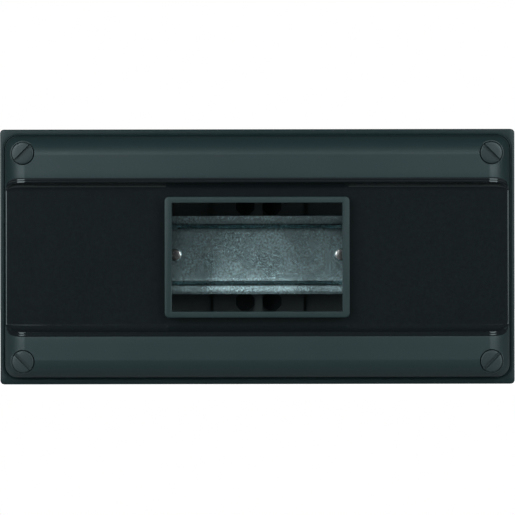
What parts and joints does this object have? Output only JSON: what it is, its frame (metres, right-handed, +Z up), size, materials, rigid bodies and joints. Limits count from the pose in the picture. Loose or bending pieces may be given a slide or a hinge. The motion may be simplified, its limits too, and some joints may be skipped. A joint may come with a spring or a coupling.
{
  "type": "electrical distribution box",
  "caption": "Surface-mounted plastic distribution box: a wall tray with a top-hat rail, closed by a moulded cover with a device window and quarter-turn screws.",
  "frame": {"origin": "centre of the flat back face that lies on the wall", "axes": "+Z up as the box hangs on the wall, +X along the box, the front faces -Y, so +Y points into the wall"},
  "size_m": [0.22, 0.088, 0.109],
  "materials": {
    "base_plastic": "fine matte grain",
    "cover_plastic": "fine matte grain on the bands and collar, gloss in the channel",
    "plate_plastic": "fine matte grain",
    "screw_plastic": "satin",
    "rail_steel": "galvanised, fine grey grain",
    "screw_steel": "bright zinc plating"
  },
  "bodies": {
    "base": {"base_housing": "base_plastic", "din_rail": "rail_steel", "rail_screw_left": "screw_steel", "rail_screw_right": "screw_steel", "entry_plate_top_left": "plate_plastic", "entry_plate_top_right": "plate_plastic", "entry_plate_bottom_left": "plate_plastic", "entry_plate_bottom_right": "plate_plastic", "entry_plate_side_left": "plate_plastic", "entry_plate_side_right": "plate_plastic"},
    "cover": {"front_cover": "cover_plastic"},
    "screw_top_left": {"cover_screw_top_left": "screw_plastic"},
    "screw_top_right": {"cover_screw_top_right": "screw_plastic"},
    "screw_bottom_left": {"cover_screw_bottom_left": "screw_plastic"},
    "screw_bottom_right": {"cover_screw_bottom_right": "screw_plastic"}
  },
  "joints": [
    {"name": "cover_lift_off", "type": "slide", "parent": "base", "child": "cover", "axis": [0, -1, 0], "range_m": [0, 0.08]},
    {"name": "screw_turn_top_left", "type": "hinge", "parent": "cover", "child": "screw_top_left", "pos_m": [-0.099, -0.0854, 0.044], "axis": [0, -1, 0], "range_deg": [0, 90]},
    {"name": "screw_turn_top_right", "type": "hinge", "parent": "cover", "child": "screw_top_right", "pos_m": [0.099, -0.0854, 0.044], "axis": [0, -1, 0], "range_deg": [0, 90]},
    {"name": "screw_turn_bottom_left", "type": "hinge", "parent": "cover", "child": "screw_bottom_left", "pos_m": [-0.099, -0.0854, -0.044], "axis": [0, -1, 0], "range_deg": [0, 90]},
    {"name": "screw_turn_bottom_right", "type": "hinge", "parent": "cover", "child": "screw_bottom_right", "pos_m": [0.099, -0.0854, -0.044], "axis": [0, -1, 0], "range_deg": [0, 90]}
  ]
}
